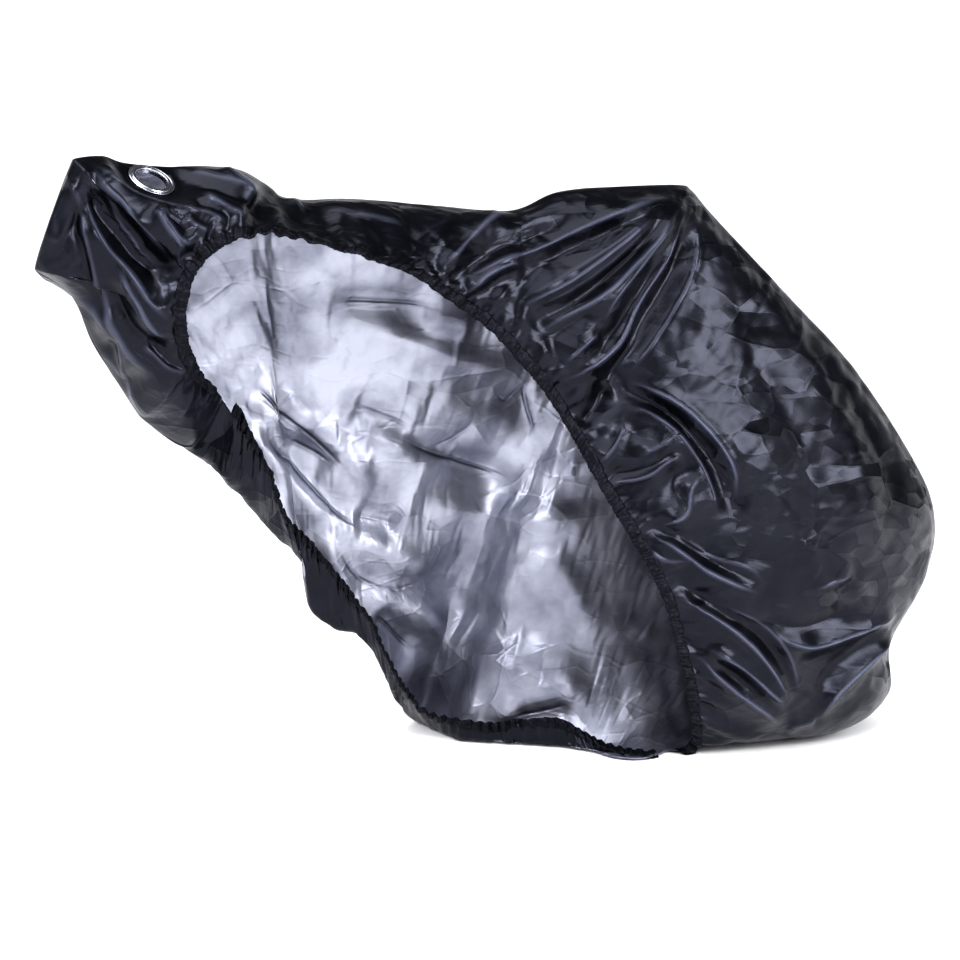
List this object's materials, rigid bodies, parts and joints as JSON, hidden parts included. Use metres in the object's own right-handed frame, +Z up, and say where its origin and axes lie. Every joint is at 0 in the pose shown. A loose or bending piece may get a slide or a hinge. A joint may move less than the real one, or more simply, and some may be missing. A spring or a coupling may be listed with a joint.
{
  "type": "bicycle cover",
  "caption": "Fitted cloth cover draped over an upright bicycle, its open side lifted to show the silver inside, with a gathered elastic hem and a metal lock eyelet near the front peak.",
  "frame": {"origin": "the point under the top of the cover where the bicycle's saddle carries it, 920 mm above the floor", "axes": "+Z up, +X towards the rear of the bicycle, -Y towards the side that is lifted open"},
  "size_m": [1.498, 0.4589, 0.9414],
  "materials": {
    "black_cloth": "thin coated taffeta, black and softly glossy outside, silver coated inside",
    "silver_backed_cloth": "the same thin coated taffeta, shown by its silver coated inside; black outside",
    "plated_metal": "polished plating"
  },
  "bodies": {
    "root": {"left_panel": "black_cloth", "right_panel": "silver_backed_cloth", "eyelet_patch": "black_cloth", "eyelet": "plated_metal", "eyelet_washer": "plated_metal"}
  },
  "joints": []
}
